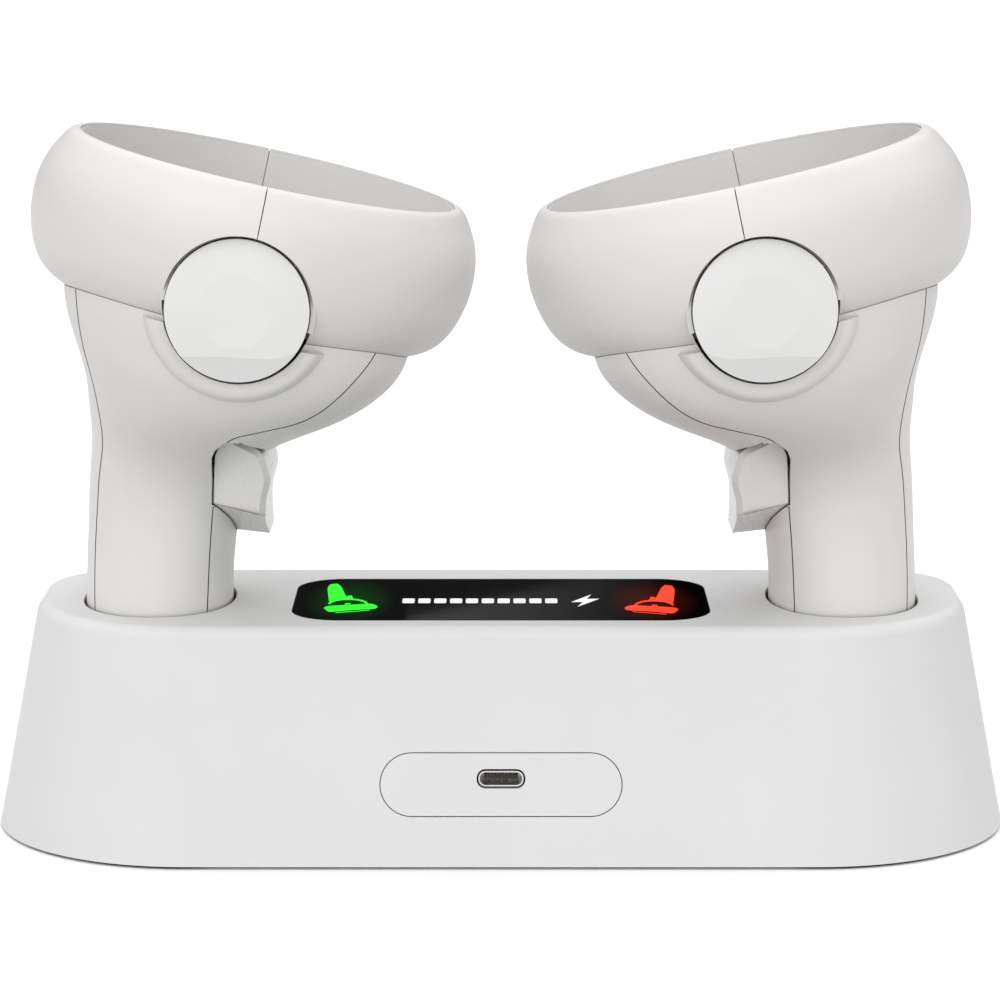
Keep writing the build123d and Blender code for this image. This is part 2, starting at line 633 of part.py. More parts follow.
def pad_discs(radius, z_low, z_high):
    z = CUP_FLOOR
    discs = [rod((-CUP_X + s * PIN_SPREAD / 2, 0, z + z_low), (-CUP_X + s * PIN_SPREAD / 2, 0, z + z_high),
                 radius) for s in (-1, 1)]
    return discs[0] + discs[1]


def make_contact_pads():
    return Compound(list(pad_discs(2.3, 0, BODY_WALL).solids()))


# ---- controller: face plate, stick and buttons ----
def make_face_plate():
    plate = body_form(0.9)
    slab = in_ring(box((-80, -80, DECK_N + 0.05), (80, 80, DECK_N + PLATE_THICK)))
    plate = (plate & slab) - in_ring(ring_envelope(PLATE_MARGIN))
    holes = [(STICK_AT, STICK_HOLE), (BUTTON_LOWER_AT, BUTTON_RADIUS + BUTTON_GAP),
             (BUTTON_UPPER_AT, BUTTON_RADIUS + BUTTON_GAP), (MENU_AT, MENU_RADIUS + BUTTON_GAP)]
    for (u, y), radius in holes:
        plate -= in_ring(rod((u, y, -30), (u, y, 10), radius))
    return biggest(plate)


def make_button(place, radius, proud):
    """A round key with a skirt and a flange that keeps it under the face plate."""
    u, y = place
    top = DECK_N + PLATE_THICK + proud
    key = rod((u, y, DECK_N - 3.0), (u, y, top), radius)
    key = fillet(key.edges().group_by(Axis.Z)[-1], 0.6)
    key += rod((u, y, DECK_N - 3.2), (u, y, DECK_N - 1.7), radius + 0.8)
    key -= rod((u, y, DECK_N - 4), (u, y, top - 1.4), radius - 1.2)
    return in_ring(biggest(key))


def make_thumbstick():
    """The dished cap on its stem, with the dome that fills the plate's hole in every tilt."""
    u, y = STICK_AT
    top, centre = STICK_TOP_N, STICK_PIVOT_N
    cap_line = [(0, top - 1.5), (5.6, top - 1.2), (7.0, top - 0.1), (8.0, top),
                (STICK_CAP_RADIUS, top - 0.9), (STICK_CAP_RADIUS - 0.2, top - 2.2),
                (6.6, top - 3.2), (3.4, top - 3.8), (STICK_STEM_RADIUS, top - 4.8),
                (STICK_STEM_RADIUS, DECK_N + 1.0), (0, DECK_N + 1.0)]
    stick = revolved(Polyline(cap_line + cap_line[:1]))
    dome = Sphere(DOME_RADIUS) - Sphere(DOME_RADIUS - 0.8)
    dome &= box((-20, -20, DOME_SKIRT), (20, 20, 20))
    stick += Pos(0, 0, centre) * dome
    stick += rod((0, 0, centre + 3.8), (0, 0, centre + DOME_RADIUS - 0.4), 2.2)
    stick -= rod((0, 0, centre), (0, 0, POST_TOP_N + 0.8), POST_RADIUS + PIN_CLEARANCE)
    return in_ring(Pos(u, y, 0) * biggest(stick))


def make_stick_pivot():
    """The small block that turns in the rocker, with the post the stick slides on."""
    u, y = STICK_AT
    n = STICK_PIVOT_N
    block = box((u - 1.4, y - 1.8, n - 1.2), (u + 1.4, y + 1.8, n + 1.2))
    block += rod((u, y, n), (u, y, POST_TOP_N), POST_RADIUS)
    block += rod((u, y - 3.1, n), (u, y + 3.1, n), TRUNNION_RADIUS)
    return in_ring(block)


def make_stick_rocker():
    """The frame that turns in the housing and carries the pivot crosswise."""
    u, y = STICK_AT
    n = STICK_PIVOT_N
    frame = box((u - 3.2, y - 3.2, n - 1.2), (u + 3.2, y + 3.2, n + 1.2))
    frame -= box((u - 2.0, y - 2.2, n - 2), (u + 2.0, y + 2.2, n + 2))
    for side in (-1, 1):
        frame += rod((u + side * 3.1, y, n), (u + side * 4.8, y, n), TRUNNION_RADIUS)
    frame -= rod((u, y - 4, n), (u, y + 4, n), TRUNNION_RADIUS + PIN_CLEARANCE)
    return in_ring(frame)


def make_stick_housing():
    """The open steel box on the board that holds the rocker."""
    u, y = STICK_AT
    n = STICK_PIVOT_N
    floor = MAIN_BOARD_N + MAIN_BOARD_THICK
    case = box((u - 5.0, y - 5.0, floor), (u + 5.0, y + 5.0, n + 1.7))
    case -= box((u - 4.2, y - 4.2, floor + 0.8), (u + 4.2, y + 4.2, n + 3))
    case -= rod((u - 7, y, n), (u + 7, y, n), TRUNNION_RADIUS + PIN_CLEARANCE)
    return in_ring(case)


def make_main_board():
    top = MAIN_BOARD_N + MAIN_BOARD_THICK
    board = in_ring(extrude(Pos(-1, -8.5, MAIN_BOARD_N) * oval(25.5, 17.0, 2.3), MAIN_BOARD_THICK))
    chips = in_ring(box((4, -6, top), (11, 1, top + 1.2)))
    for place in (BUTTON_LOWER_AT, BUTTON_UPPER_AT, MENU_AT):
        u, y = place
        chips += in_ring(rod((u, y, top), (u, y, DECK_N - 4.4), 1.0))
    return biggest(board + chips)


# ---- controller: trigger and grip ----
def make_trigger():
    """The domed disc with its lower facet, its skirt and the two lugs round its pin."""
    face = TRIGGER_FACE_Y
    y, z = TRIGGER_PIVOT
    disc = trigger_bore(TRIGGER_RADIUS, face, face + 4.6)
    disc = fillet(disc.edges().group_by(Axis.Y)[0], 0.7)
    hollow = trigger_bore(TRIGGER_RADIUS - 1.6, face + 2.2, face + 8)
    disc -= hollow & box((TRIGGER_X - 20, face, 104.5), (TRIGGER_X + 20, face + 9, 130))
    dome = Pos(TRIGGER_X, face + 70 - 0.35, TRIGGER_Z) * Sphere(70)
    disc &= dome
    disc -= loft([front_face(TRIGGER_FACET, face - 1, 2.4), front_face(TRIGGER_FACET, face + 3.4, -8.2)])
    lugs = box((TRIGGER_X - 9.4, face + 1.2, z - 2.0), (TRIGGER_X - 6.4, y + 1.3, z + 1.7))
    lugs += box((TRIGGER_X + 6.4, face + 1.2, z - 2.0), (TRIGGER_X + 9.4, y + 1.3, z + 1.7))
    lugs = lugs & trigger_bore(TRIGGER_RADIUS - 1, face, -40)
    trigger = disc + lugs
    trigger -= rod((TRIGGER_X - 15, y, z), (TRIGGER_X + 15, y, z), PIVOT_RADIUS + PIN_CLEARANCE)
    return biggest(trigger)


def front_face(crease, y, drop):
    """A face in the X-Z plane under a curved crease, lowered by drop."""
    plane = Plane(origin=(0, y, 0), x_dir=(1, 0, 0), z_dir=(0, -1, 0))
    top = [(x, z + drop) for x, z in crease]
    lines = Spline(top) + Polyline([top[-1], (top[-1][0], 84), (top[0][0], 84), top[0]])
    return plane * make_face(lines)


def coil(start, direction, turns):
    """A close-wound torsion spring: touching turns about an axis."""
    body = None
    for k in range(turns):
        place = Vector(*start) + Vector(*direction) * (k * SPRING_WIRE * 1.7)
        turn = Plane(origin=place, z_dir=direction).location * Torus(SPRING_RADIUS, SPRING_WIRE)
        body = turn if body is None else body + turn
    return body


def make_trigger_spring():
    y, z = TRIGGER_PIVOT
    spring = coil((TRIGGER_X - 1.0, y, z), (1, 0, 0), 5)
    leg = rod((TRIGGER_X, y - SPRING_RADIUS, z), (TRIGGER_X, y - SPRING_RADIUS, z - 6), SPRING_WIRE)
    return biggest(spring + leg)


def make_grip_button():
    """The finger lever on the inboard side of the handle, with its hinge barrel."""
    x, y = GRIP_PIVOT
    lever = grip_block() + rod((x, y, 69.6), (x, y, 83.4), GRIP_BARREL)
    lever -= box((x - 3, y - 3, 74.0), (x + 2.4, y + 2.4, 79.0))
    lever -= rod((x, y, 60), (x, y, 90), PIVOT_RADIUS + PIN_CLEARANCE)
    return biggest(lever)


def make_grip_spring():
    x, y = GRIP_PIVOT
    spring = coil((x, y, 75.5), (0, 0, 1), 5)
    leg = rod((x, y + SPRING_RADIUS, 76.3), (x + 2.3, y + SPRING_RADIUS, 76.3), SPRING_WIRE)
    return biggest(spring + leg)


def make_battery():
    radius, length = BATTERY
    x, y, z = BATTERY_AT
    cell = rod((x, y, z), (x, y, z + length), radius)
    cell = fillet(cell.edges(), 0.5)
    return cell + rod((x, y, z + length), (x, y, z + length + 1.2), 2.7)


def make_controller():
    """Every piece of the right-hand controller, by name."""
    pieces = make_body_shells()
    pieces.update({
        "ring_cover_outboard": make_ring_cover(-1),
        "ring_cover_inboard": make_ring_cover(1),
        "ring_inner_band": make_inner_band(),
        "led_strip": make_led_strip(),
        "face_plate": make_face_plate(),
        "thumbstick": make_thumbstick(),
        "stick_pivot": make_stick_pivot(),
        "stick_rocker": make_stick_rocker(),
        "stick_housing": make_stick_housing(),
        "button_lower": make_button(BUTTON_LOWER_AT, BUTTON_RADIUS, BUTTON_PROUD),
        "button_upper": make_button(BUTTON_UPPER_AT, BUTTON_RADIUS, BUTTON_PROUD),
        "menu_button": make_button(MENU_AT, MENU_RADIUS, 0.5),
        "trigger": make_trigger(),
        "trigger_spring": make_trigger_spring(),
        "grip_button": make_grip_button(),
        "grip_spring": make_grip_spring(),
        "pivot_pins": make_pivot_pins(),
        "battery": make_battery(),
        "main_board": make_main_board(),
        "contact_pads": make_contact_pads()})
    return pieces


def make_dock():
    return {
        "dock_shell": make_dock_shell(),
        "base_plate": make_base_plate(),
        "rubber_feet": make_rubber_feet(),
        "base_screws": make_base_screws(),
        "display_window": window_block(0, DOCK_HEIGHT - WINDOW_THICK, DOCK_HEIGHT - 0.05),
        "port_bezel": make_port_bezel(),
        "usb_shell": make_usb_shell(),
        "usb_tongue": make_usb_tongue(),
        "charge_board": make_charge_board(),
        "pogo_barrels": make_pogo_barrels(),
        "right_pogo_pins": make_pogo_pins(-1),
        "left_pogo_pins": make_pogo_pins(1)}


def write(name, shape):
    shape.label = name
    export_step(shape, f"parts/{name}.step")


os.makedirs("parts", exist_ok=True)
for name, shape in make_dock().items():
    write(name, shape)
for name, shape in make_controller().items():
    write("right_" + name, shape)
    write("left_" + name, mirror(shape, about=Plane.YZ))
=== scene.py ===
import json
import math

import bmesh
import bpy
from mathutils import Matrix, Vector


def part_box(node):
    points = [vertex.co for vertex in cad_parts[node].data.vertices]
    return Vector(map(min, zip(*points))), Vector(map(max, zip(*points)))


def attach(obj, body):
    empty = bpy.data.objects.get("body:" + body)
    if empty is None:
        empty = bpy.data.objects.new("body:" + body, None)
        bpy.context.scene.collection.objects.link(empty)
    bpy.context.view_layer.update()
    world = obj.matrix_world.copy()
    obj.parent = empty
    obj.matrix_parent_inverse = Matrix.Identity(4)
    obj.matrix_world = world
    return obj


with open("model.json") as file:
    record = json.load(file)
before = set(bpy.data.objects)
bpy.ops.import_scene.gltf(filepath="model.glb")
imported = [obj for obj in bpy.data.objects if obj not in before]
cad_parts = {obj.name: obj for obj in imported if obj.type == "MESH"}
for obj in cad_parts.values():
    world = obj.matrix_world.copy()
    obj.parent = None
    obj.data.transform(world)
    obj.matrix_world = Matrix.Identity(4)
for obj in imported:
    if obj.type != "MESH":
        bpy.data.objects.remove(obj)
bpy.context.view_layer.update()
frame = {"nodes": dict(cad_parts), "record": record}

nodes = frame["nodes"]
HANDS = (("right", -1), ("left", 1))
MM = 0.001

# The tracking ring's own frame on the right-hand controller, as the CAD has it.
RING_ORIGIN = Vector((-49.4, -7.0, 122.5)) * MM
RING_TILT = math.radians(12.5)
KEY_TOP = -9.6 + 1.6 + 1.3          # face plate's underside, its thickness, a key's height
LOWER_KEY, UPPER_KEY = (12.0, 0.5), (15.5, -12.5)
STICK_U, STICK_Y, STICK_TOP = -10.0, -11.0, 0.5
TRIGGER_AXIS = (-50.0, 112.6)       # x and z, in mm


# ---------------------------------------------------------------- node helpers
def new_tree(name):
    """An empty material with its shader, its output and the object's own coordinates."""
    mat = bpy.data.materials.new(name)
    mat.use_nodes = True
    tree = mat.node_tree
    tree.nodes.clear()
    shader = tree.nodes.new("ShaderNodeBsdfPrincipled")
    output = tree.nodes.new("ShaderNodeOutputMaterial")
    tree.links.new(shader.outputs["BSDF"], output.inputs["Surface"])
    place = tree.nodes.new("ShaderNodeTexCoord")
    return mat, tree, shader, place.outputs["Object"]


def noise(tree, vector, scale, detail=4.0, rough=0.5, stretch=None):
    if stretch:
        turn = tree.nodes.new("ShaderNodeMapping")
        turn.inputs["Scale"].default_value = stretch
        tree.links.new(vector, turn.inputs["Vector"])
        vector = turn.outputs["Vector"]
    node = tree.nodes.new("ShaderNodeTexNoise")
    node.inputs["Scale"].default_value = scale
    node.inputs["Detail"].default_value = detail
    node.inputs["Roughness"].default_value = rough
    tree.links.new(vector, node.inputs["Vector"])
    return node.outputs["Fac"]


def spread(tree, value, low, high, start=0.3, stop=0.7):
    """Maps a noise value to a range."""
    node = tree.nodes.new("ShaderNodeMapRange")
    node.inputs["From Min"].default_value = start
    node.inputs["From Max"].default_value = stop
    node.inputs["To Min"].default_value = low
    node.inputs["To Max"].default_value = high
    tree.links.new(value, node.inputs["Value"])
    return node.outputs["Result"]


def blend_colour(tree, factor, first, second):
    node = tree.nodes.new("ShaderNodeMix")
    node.data_type = "RGBA"
    for socket, value in ((node.inputs[6], first), (node.inputs[7], second)):
        if isinstance(value, bpy.types.NodeSocket):
            tree.links.new(value, socket)
        else:
            socket.default_value = (*value, 1.0)
    tree.links.new(factor, node.inputs[0])
    return node.outputs[2]


def bump(tree, height, strength, distance, normal=None):
    node = tree.nodes.new("ShaderNodeBump")
    node.inputs["Strength"].default_value = strength
    node.inputs["Distance"].default_value = distance
    tree.links.new(height, node.inputs["Height"])
    if normal is not None:
        tree.links.new(normal, node.inputs["Normal"])
    return node.outputs["Normal"]


def scaled(colour, factor):
    return tuple(min(c * factor, 1.0) for c in colour)


# ---------------------------------------------------------------- materials
# Painted shade: the colour factors that moulded() uses to darken tight gaps.
WARM_SHADE, EVEN_SHADE = (0.42, 0.35, 0.29), (0.5, 0.5, 0.5)
CLOUDY = 0.02


def moulded(name, colour, rough, grain=900.0, depth=0.12, gap=WARM_SHADE, coat=0.0):
    """A moulded plastic: spark-eroded grain, a faint flow cloud and painted warm shade in tight
    gaps.
    """
    mat, tree, shader, at = new_tree(name)
    links = tree.links
    fine = noise(tree, at, grain, 3.0, 0.6)
    pores = noise(tree, at, grain * 0.33, 2.0, 0.5)
    cloud = noise(tree, at, 28.0, 4.0, 0.55)
    surface = blend_colour(tree, spread(tree, cloud, 0.0, 1.0), scaled(colour, 1 - CLOUDY),
                           scaled(colour, 1 + CLOUDY))
    # Painted shade: an ambient-occlusion mask darkens the base colour in tight gaps and seams.
    shade = tree.nodes.new("ShaderNodeAmbientOcclusion")
    shade.samples = 6
    shade.inputs["Distance"].default_value = 0.0016
    open_air = spread(tree, shade.outputs["AO"], 0.0, 1.0, 0.15, 0.62)
    painted_gap_shade = tuple(c * g for c, g in zip(colour, gap))
    links.new(blend_colour(tree, open_air, painted_gap_shade, surface), shader.inputs["Base Color"])
    links.new(spread(tree, fine, rough - 0.05, rough + 0.06), shader.inputs["Roughness"])
    first = bump(tree, pores, depth, 0.00008)
    second = bump(tree, fine, depth, 0.00005, first)
    links.new(second, shader.inputs["Normal"])
    shader.inputs["Specular IOR Level"].default_value = 0.5
    if coat:
        shader.inputs["Coat Weight"].default_value = coat
        shader.inputs["Coat Roughness"].default_value = 0.18
    return mat


def rubber(name, colour, rough=0.75):
    """Soft rubber with a fine matte pebble and paler rubbed patches."""
    mat, tree, shader, at = new_tree(name)
    links = tree.links
    pebble = noise(tree, at, 1300.0, 2.0, 0.5)
    rubbed = noise(tree, at, 120.0, 5.0, 0.6)
    links.new(blend_colour(tree, spread(tree, rubbed, 0.0, 1.0), scaled(colour, 0.85),
                           scaled(colour, 1.25)), shader.inputs["Base Color"])
    links.new(spread(tree, rubbed, rough - 0.08, rough + 0.08), shader.inputs["Roughness"])
    links.new(bump(tree, pebble, 0.35, 0.0001), shader.inputs["Normal"])
    shader.inputs["Specular IOR Level"].default_value = 0.35
    return mat


def metal(name, colour, rough):
    """Plated or brushed metal with fine drawn lines."""
    mat, tree, shader, at = new_tree(name)
    links = tree.links
    lines = noise(tree, at, 700.0, 4.0, 0.6, (1.0, 1.0, 12.0))
    tarnish = noise(tree, at, 160.0, 4.0, 0.6)
    links.new(blend_colour(tree, spread(tree, tarnish, 0.0, 1.0), scaled(colour, 0.88),
                           scaled(colour, 1.06)), shader.inputs["Base Color"])
    links.new(spread(tree, lines, rough - 0.08, rough + 0.1), shader.inputs["Roughness"])
    links.new(bump(tree, lines, 0.12, 0.00003), shader.inputs["Normal"])
    shader.inputs["Metallic"].default_value = 1.0
    return mat


def circuit(name):
    """A green circuit board with paler tracks."""
    mat, tree, shader, at = new_tree(name)
    links = tree.links
    cells = tree.nodes.new("ShaderNodeTexVoronoi")
    cells.feature = "DISTANCE_TO_EDGE"
    cells.inputs["Scale"].default_value = 260.0
    links.new(at, cells.inputs["Vector"])
    tracks = spread(tree, cells.outputs["Distance"], 1.0, 0.0, 0.03, 0.06)
    mottled = blend_colour(tree, noise(tree, at, 300.0), (0.008, 0.055, 0.022),
                           (0.012, 0.08, 0.03))
    links.new(blend_colour(tree, tracks, mottled, (0.03, 0.16, 0.06)), shader.inputs["Base Color"])
    links.new(spread(tree, noise(tree, at, 500.0), 0.3, 0.42), shader.inputs["Roughness"])
    links.new(bump(tree, tracks, 0.3, 0.00005), shader.inputs["Normal"])
    return mat


# Painted glow round the icons: where each glow sits on the window, and its colour.
GLOWS = (((-31.0, -3.5), (0.0, 0.035, 0.0)), ((31.0, -4.8), (0.05, 0.004, 0.0)))
GLOW_REACH = (0.0095, 0.0215, 0.01)
WINDOW_LEVEL = 0.047


def glass(name):
    """Black gloss window, with faint polishing waves and a painted glow of the lamps round the
    icons.
    """
    mat, tree, shader, at = new_tree(name)
    links = tree.links
    depth = noise(tree, at, 60.0, 3.0, 0.5)
    links.new(blend_colour(tree, spread(tree, depth, 0.0, 1.0), (0.0012, 0.0012, 0.0014),
                           (0.0022, 0.0022, 0.0024)), shader.inputs["Base Color"])
    links.new(spread(tree, noise(tree, at, 900.0), 0.035, 0.06), shader.inputs["Roughness"])
    links.new(bump(tree, noise(tree, at, 35.0, 1.0), 0.02, 0.0001), shader.inputs["Normal"])
    # Painted light: the window itself emits a coloured glow that fades out round each icon.
    glow = None
    for (x, y), colour in GLOWS:
        shift = tree.nodes.new("ShaderNodeMapping")
        shift.vector_type = "TEXTURE"
        shift.inputs["Location"].default_value = (x * MM, y * MM, WINDOW_LEVEL)
        shift.inputs["Scale"].default_value = GLOW_REACH
        links.new(at, shift.inputs["Vector"])
        ball = tree.nodes.new("ShaderNodeTexGradient")
        ball.gradient_type = "SPHERICAL"
        links.new(shift.outputs["Vector"], ball.inputs["Vector"])
        base = glow if glow is not None else (0.0, 0.0, 0.0)
        fade = spread(tree, ball.outputs["Fac"], 0.0, 1.0, 0.0, 0.8)
        glow = blend_colour(tree, fade, base, colour)
    links.new(glow, shader.inputs["Emission Color"])
    shader.inputs["Emission Strength"].default_value = 1.0
    return mat


def lamp(name, colour, strength):
    """A lit icon behind the window: even light with faint random patches."""
    mat, tree, shader, at = new_tree(name)
    links = tree.links
    patch = noise(tree, at, 220.0, 2.0, 0.4)
    links.new(blend_colour(tree, spread(tree, patch, 0.0, 1.0), scaled(colour, 0.93), colour),
              shader.inputs["Emission Color"])
    links.new(blend_colour(tree, patch, scaled(colour, 0.2), scaled(colour, 0.3)),
              shader.inputs["Base Color"])
    links.new(spread(tree, patch, 0.35, 0.45), shader.inputs["Roughness"])
    shader.inputs["Emission Strength"].default_value = strength
    return mat


WARM = (0.655, 0.643, 0.630)
COOL = (0.650, 0.650, 0.650)
LOOKS = {
    "dock_white": moulded("dock_white", COOL, 0.52, grain=1100.0, depth=0.16),
    "white_plastic": moulded("white_plastic", WARM, 0.46, grain=1400.0, depth=0.08),
    "ring_band": moulded("ring_band", (0.60, 0.592, 0.582), 0.4, grain=1500.0, depth=0.06),
    "face_plate_white": moulded("face_plate_white", (0.67, 0.662, 0.652), 0.34, grain=1600.0,
                                depth=0.05),
    "trigger_white": moulded("trigger_white", (0.70, 0.695, 0.690), 0.36, grain=1600.0, depth=0.05),
    "key_white": moulded("key_white", (0.69, 0.684, 0.676), 0.3, grain=1600.0, depth=0.04),
    "stick_grey": rubber("stick_grey", (0.42, 0.415, 0.41), 0.6),
    "nylon": moulded("nylon", (0.6, 0.58, 0.54), 0.5),
    "black_window": glass("black_window"),
    "black_plastic": moulded("black_plastic", (0.012, 0.012, 0.013), 0.4, gap=EVEN_SHADE),
    "dark_base": moulded("dark_base", (0.035, 0.035, 0.036), 0.55, gap=EVEN_SHADE, depth=0.25),
    "black_rubber": rubber("black_rubber", (0.02, 0.02, 0.021)),
    "steel": metal("steel", (0.62, 0.62, 0.63), 0.28),
    "contact_gold": metal("contact_gold", (0.83, 0.6, 0.25), 0.25),
    "circuit_board": circuit("circuit_board"),
    "battery_jacket": moulded("battery_jacket", (0.05, 0.11, 0.3), 0.3, gap=EVEN_SHADE,
                              coat=0.5),
}
slots = {part["node"]: part["material_slot"] for part in frame["record"]["subparts"]}
for name, piece in nodes.items():
    piece.data.materials.clear()
    piece.data.materials.append(LOOKS[slots[name]])


# ---------------------------------------------------------------- mesh helpers
def mesh_piece(name, mesh, body, slot, look=None, flat=False):
    """Makes an object of a bmesh and lets it ride on a body."""
    bmesh.ops.recalc_face_normals(mesh, faces=mesh.faces)
    data = bpy.data.meshes.new(name)
    mesh.to_mesh(data)
    mesh.free()
    for face in data.polygons:
        face.use_smooth = not flat
    piece = bpy.data.objects.new(name, data)
    bpy.context.scene.collection.objects.link(piece)
    data.materials.append(look or LOOKS[slot])
    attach(piece, body)
    return piece


def on_side(point, side):
    """A right-hand point, or its mirror image on the left-hand controller."""
    return Vector((-point.x if side > 0 else point.x, point.y, point.z))


def in_ring(u, y, n, side):
    """A point of the ring's own frame, in metres, on either controller."""
    across = Vector((math.cos(RING_TILT), 0.0, -math.sin(RING_TILT)))
    up = Vector((math.sin(RING_TILT), 0.0, math.cos(RING_TILT)))
    point = RING_ORIGIN + (across * u + Vector((0, y, 0)) + up * n) * MM
    return on_side(point, side)


def plate(mesh, outline, low, high):
    """A closed slab of an outline of (x, y) in metres between two heights."""
    rings = [[mesh.verts.new((x, y, z)) for x, y in outline] for z in (low, high)]
    count = len(outline)
    for k in range(count):
        j = (k + 1) % count
        mesh.faces.new((rings[0][k], rings[0][j], rings[1][j], rings[1][k]))
    mesh.faces.new(rings[1])
    mesh.faces.new(list(reversed(rings[0])))


def lathe(mesh, line, count, place, wobble=None):
    """A closed turned form: line holds (radius, height), place gives each point its position."""
    rings = []
    for radius, height in line:
        ring = []
        for k in range(count):
            turn = 2 * math.pi * k / count
            r = radius + (wobble(radius, turn) if wobble else 0.0)
            ring.append(mesh.verts.new(place(r * math.cos(turn), r * math.sin(turn), height)))
        rings.append(ring)
    for low, high in zip(rings, rings[1:] + rings[:1]):
        for k in range(count):
            j = (k + 1) % count
            mesh.faces.new((low[k], low[j], high[j], high[k]))


def smooth_loop(corners, radius, steps=5):
    """Rounds the corners of an outline."""
    points = []
    count = len(corners)
    for k in range(count):
        before, here, after = (Vector(corners[(k + d) % count]) for d in (-1, 0, 1))
        back, ahead = before - here, after - here
        reach = min(radius, 0.45 * back.length, 0.45 * ahead.length)
        start, stop = here + back.normalized() * reach, here + ahead.normalized() * reach
        for s in range(steps + 1):
            t = s / steps
            points.append(start * (1 - t) ** 2 + here * 2 * t * (1 - t) + stop * t * t)
    return [(p.x, p.y) for p in points]


# ---------------------------------------------------------------- the window's lit icons
WINDOW_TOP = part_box("display_window")[1].z
SUNK, RAISED = 0.02 * MM, 0.03 * MM


def arc_band(outer, inner, start, stop, steps=20):
    """A curved band between two ovals about the same centre, as an outline."""
    turns = [math.radians(start + (stop - start) * k / steps) for k in range(steps + 1)]
    far = [(outer[0] * math.cos(t), outer[1] * math.sin(t)) for t in turns]
    near = [(inner[0] * math.cos(t), inner[1] * math.sin(t)) for t in reversed(turns)]
    return far + near


def icon(name, centre, side, slot, look):
    """A pictogram of a controller lying on its head: handle, head, ring and a trigger."""
    handle = [(-5.7, 16.4), (-5.3, 20.2), (-3.9, 21.2), (-2.9, 18.2), (-1.6, 9.0), (-0.6, 5.6),
              (-2.4, 5.2), (-3.6, 4.4), (-4.7, 2.6)]
    ring = [(-5.6, -3.0), (-4.8, -1.2), (4.1, 1.1), (5.5, -1.6), (5.0, -3.9), (0.4, -5.0),
            (-4.3, -7.0)]
    trigger = [(-1.3, 8.5), (-0.35, 9.1), (0.1, 6.1), (-0.8, 6.5)]
    lens = [(-1.4, 1.3), (-0.2, 1.5), (-0.2, 0.3), (-1.4, 0.1)]
    line = [(-2.9, -7.9), (3.9, -5.5), (3.9, -5.0), (-2.9, -7.4)]
    head = [(x - 0.75, y + 0.1) for x, y in arc_band((4.15, 5.9), (3.65, 4.6), 8, 172)]
    mesh = bmesh.new()
    shapes = [smooth_loop(handle, 1.8), smooth_loop(ring, 0.9), smooth_loop(trigger, 0.3, 2),
              smooth_loop(lens, 0.4, 3), line, head]
    for k, shape in enumerate(shapes):
        turned = [((centre[0] - side * x) * MM, (centre[1] + y) * MM) for x, y in shape]
        lift = (0.02 + 0.004 * k) * MM
        plate(mesh, turned, WINDOW_TOP - SUNK, WINDOW_TOP + lift)
    return mesh_piece(name, mesh, "dock", slot, look, flat=True)


icon("ready_icon", (-30.5, -8.2), -1, "black_window", lamp("lamp_green", (0.0, 1.0, 0.0), 1.0))
icon("charging_icon", (30.5, -9.6), 1, "black_window", lamp("lamp_red", (1.0, 0.035, 0.0), 1.0))


BAR_COUNT, BAR_PITCH, BAR_LENGTH = 10, 3.25, 2.5
BAR_START, BAR_LOW, BAR_HIGH = -20.2, -6.6, -2.2
BOLT = [(18.6, 1.8), (14.4, -5.6), (16.8, -5.4), (15.6, -10.0), (20.2, -2.4), (17.6, -2.6)]


def level_marks():
    """A plain row of level bars and a bolt, between the two icons."""
    shapes = []
    for k in range(BAR_COUNT):
        x = BAR_START + BAR_PITCH * k
        far = x + BAR_LENGTH
        corners = [(x, BAR_LOW), (far, BAR_LOW), (far, BAR_HIGH), (x, BAR_HIGH)]
        shapes.append(smooth_loop(corners, 0.5, 3))
    mesh = bmesh.new()
    for shape in shapes + [BOLT]:
        plate(mesh, [(x * MM, y * MM) for x, y in shape], WINDOW_TOP - SUNK, WINDOW_TOP + RAISED)
    white = lamp("lamp_white", (0.85, 0.86, 0.88), 0.9)
    return mesh_piece("level_marks", mesh, "dock", "black_window", white, flat=True)


level_marks()


# ---------------------------------------------------------------- the socket's contacts
STRIP_COUNT, STRIP_PITCH, STRIP_WIDTH = 12, 0.5 * MM, 0.3 * MM
STRIP_INSET = (0.25 * MM, 0.4 * MM)     # from the tongue's front and back ends


def contact_strips():
    """Twelve plated strips on each face of the socket's tongue."""
    low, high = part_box("usb_tongue")
    front, back = low.y + STRIP_INSET[0], high.y - STRIP_INSET[1]
    mesh = bmesh.new()
    for k in range(STRIP_COUNT):
        x = (k - (STRIP_COUNT - 1) / 2) * STRIP_PITCH
        left, right = x - STRIP_WIDTH / 2, x + STRIP_WIDTH / 2
        strip = [(left, front), (right, front), (right, back), (left, back)]
        plate(mesh, strip, high.z - SUNK, high.z + RAISED)
        plate(mesh, strip, low.z - RAISED, low.z + SUNK)
    return mesh_piece("socket_contacts", mesh, "dock", "contact_gold", flat=True)


contact_strips()


# ---------------------------------------------------------------- fine parts of the controllers
KNURL_DEPTH, KNURL_COUNT, KNURL_FROM = 0.16, 44, 8.5
RIB_COUNT, RIB_START, RIB_PITCH, RIB_HEIGHT = 9, 0.6, 0.55, 0.15


